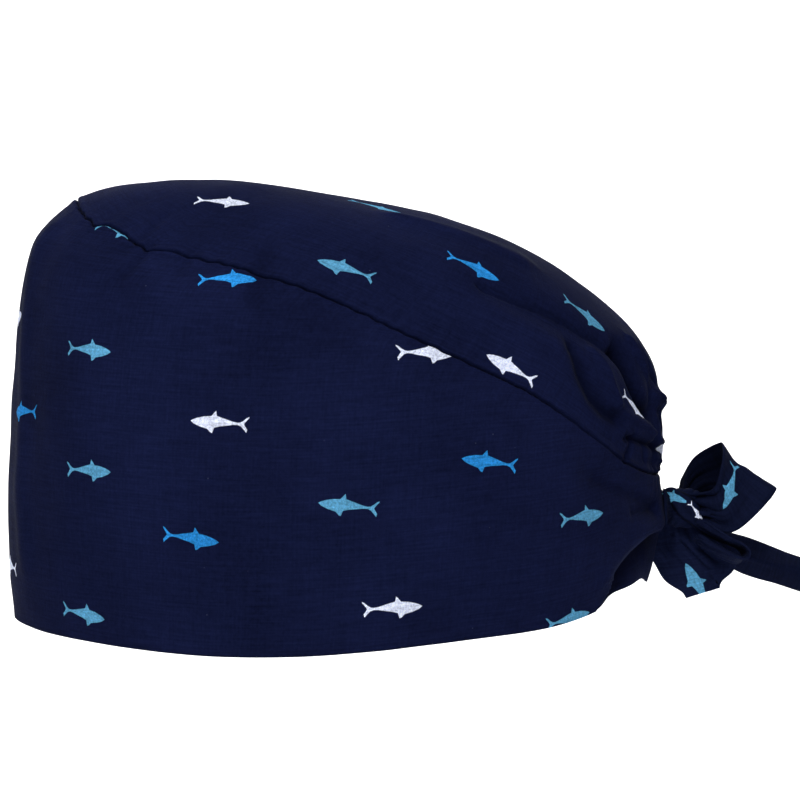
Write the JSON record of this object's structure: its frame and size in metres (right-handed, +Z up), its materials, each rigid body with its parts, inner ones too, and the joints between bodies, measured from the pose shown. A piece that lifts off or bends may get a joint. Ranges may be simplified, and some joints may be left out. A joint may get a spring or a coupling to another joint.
{
  "type": "scrub cap",
  "caption": "Tie-back scrub cap: a tall band and a domed gathered crown of printed dark cotton, tied in a bow at the back.",
  "frame": {"origin": "middle of the head opening, level with the hem at the front, where the head goes in", "axes": "+X from the front of the cap to the bow at its back, +Z up to the crown, -Y on the wearer's left"},
  "size_m": [0.2842, 0.177, 0.1602],
  "materials": {
    "cap_cotton": "matt printed cotton poplin",
    "tie_cotton": "matt printed cotton poplin, pressed double"
  },
  "bodies": {
    "root": {"band": "cap_cotton", "crown": "cap_cotton", "tie_base_near": "tie_cotton", "tie_base_far": "tie_cotton", "knot": "tie_cotton", "loop_upper": "tie_cotton", "loop_lower": "tie_cotton", "tail_long": "tie_cotton", "tail_short": "tie_cotton"}
  },
  "joints": []
}
